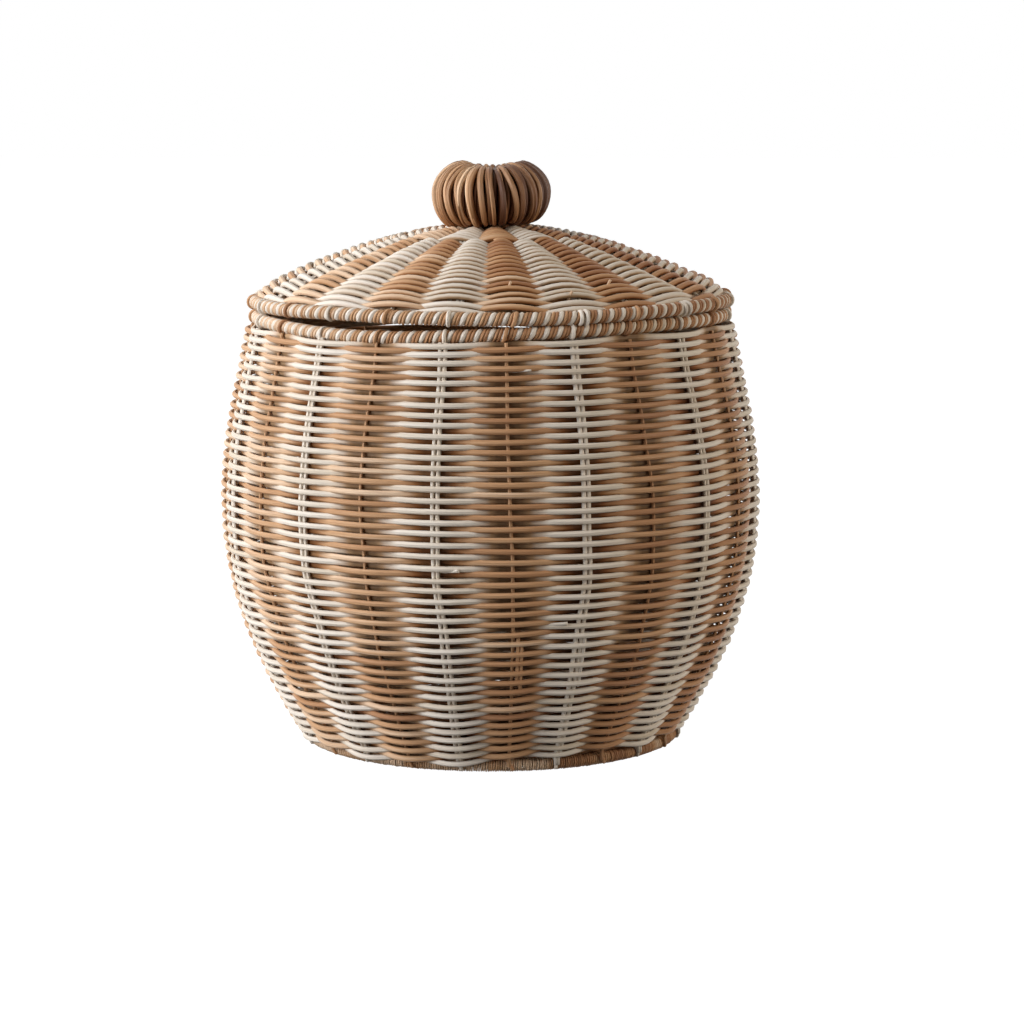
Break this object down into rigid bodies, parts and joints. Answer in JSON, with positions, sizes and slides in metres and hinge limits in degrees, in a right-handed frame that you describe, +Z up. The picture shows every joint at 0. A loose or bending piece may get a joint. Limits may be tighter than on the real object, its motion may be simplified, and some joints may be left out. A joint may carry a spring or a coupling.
{
  "type": "lidded storage basket",
  "caption": "Round barrel-shaped storage basket woven in cream and tan stripes, with wrapped rims, a shallow woven lift-off lid and a wound knob.",
  "frame": {"origin": "centre of the foot ring's underside, on the floor", "axes": "+Z up along the basket's axis, towards the knob; -Y is the side the picture faces"},
  "size_m": [0.3498, 0.35, 0.376],
  "materials": {
    "cream_rattan": "cream poly rattan, satin, finely ribbed",
    "tan_rattan": "tan poly rattan with darker streaks, satin",
    "brown_rattan": "brown poly rattan with lighter streaks, satin",
    "hoop_wire": "brown coated steel wire, hidden in the wrapped rings"
  },
  "bodies": {
    "basket": {"cream_stake_01": "cream_rattan", "cream_stake_02": "cream_rattan", "cream_stake_03": "cream_rattan", "cream_stake_04": "cream_rattan", "cream_stake_05": "cream_rattan", "cream_stake_06": "cream_rattan", "cream_stake_07": "cream_rattan", "cream_stake_08": "cream_rattan", "cream_stake_09": "cream_rattan", "cream_stake_10": "cream_rattan", "cream_stake_11": "cream_rattan", "cream_stake_12": "cream_rattan", "tan_stake_01": "tan_rattan", "tan_stake_02": "tan_rattan", "tan_stake_03": "tan_rattan", "tan_stake_04": "tan_rattan", "tan_stake_05": "tan_rattan", "tan_stake_06": "tan_rattan", "tan_stake_07": "tan_rattan", "tan_stake_08": "tan_rattan", "tan_stake_09": "tan_rattan", "tan_stake_10": "tan_rattan", "tan_stake_11": "tan_rattan", "tan_stake_12": "tan_rattan", "wall_cream_weavers": "cream_rattan", "wall_tan_weavers": "tan_rattan", "body_rim_wrap": "tan_rattan", "body_rim_hoop": "hoop_wire", "foot_wrap": "tan_rattan", "foot_hoop": "hoop_wire", "bottom_weave": "tan_rattan", "bottom_spokes": "tan_rattan"},
    "lid": {"lid_spoke_pair_01": "cream_rattan", "lid_spoke_pair_02": "cream_rattan", "lid_spoke_pair_03": "cream_rattan", "lid_spoke_pair_04": "cream_rattan", "lid_spoke_pair_05": "cream_rattan", "lid_spoke_pair_06": "cream_rattan", "lid_spoke_pair_07": "cream_rattan", "lid_spoke_pair_08": "cream_rattan", "lid_spoke_pair_09": "cream_rattan", "lid_spoke_pair_10": "cream_rattan", "lid_spoke_pair_11": "cream_rattan", "lid_spoke_pair_12": "cream_rattan", "lid_cream_weavers": "cream_rattan", "lid_tan_weavers": "tan_rattan", "lid_rim_wrap": "cream_rattan", "lid_rim_hoop": "hoop_wire", "lid_hub": "tan_rattan", "lid_seat_ring": "cream_rattan", "knob_winding": "brown_rattan", "knob_core": "brown_rattan", "knob_lashing": "brown_rattan"}
  },
  "joints": [
    {"name": "lid_lift", "type": "slide", "parent": "basket", "child": "lid", "axis": [0, 0, 1], "range_m": [0, 0.16]}
  ]
}
